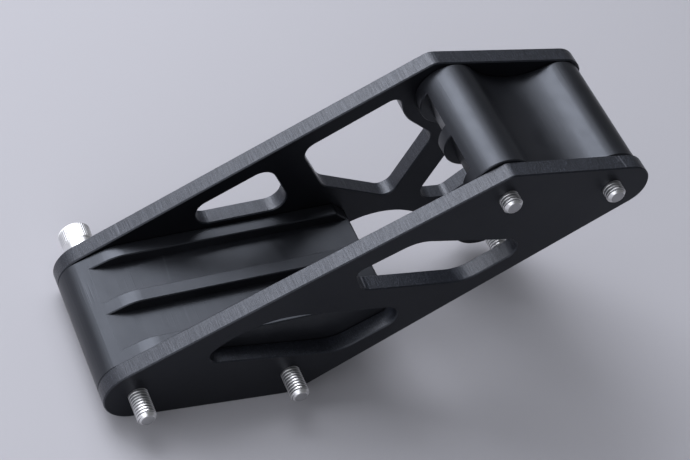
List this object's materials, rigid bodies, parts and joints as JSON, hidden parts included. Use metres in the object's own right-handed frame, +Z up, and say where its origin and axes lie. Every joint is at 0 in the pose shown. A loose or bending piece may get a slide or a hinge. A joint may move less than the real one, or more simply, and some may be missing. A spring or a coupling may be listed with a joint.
{
  "type": "motorcycle chain guard",
  "caption": "Chain guide for a swing arm: two windowed side plates hold a ribbed lower slider and a two-hump upper slider between them on five M6 screws.",
  "frame": {"origin": "middle of the bounding box in length and width, at its lowest point", "axes": "+X along the guide from the ski-shaped front ends towards the mounting lug, +Y from the plate with the screw ends to the plate with the screw heads, +Z up"},
  "size_m": [0.1578, 0.073, 0.0902],
  "materials": {
    "plates": "black anodised, satin, cut edges a little greyer",
    "blocks": "black satin plastic",
    "screws": "bright zinc plated"
  },
  "bodies": {
    "root": {"near_side_plate": "plates", "far_side_plate": "plates", "lower_guide_block": "blocks", "upper_guide_block": "blocks", "front_spacer": "screws", "rear_spacer": "screws", "front_lower_screw": "screws", "rear_lower_screw": "screws", "front_upper_screw": "screws", "rear_upper_screw": "screws", "mount_screw": "screws"}
  },
  "joints": []
}
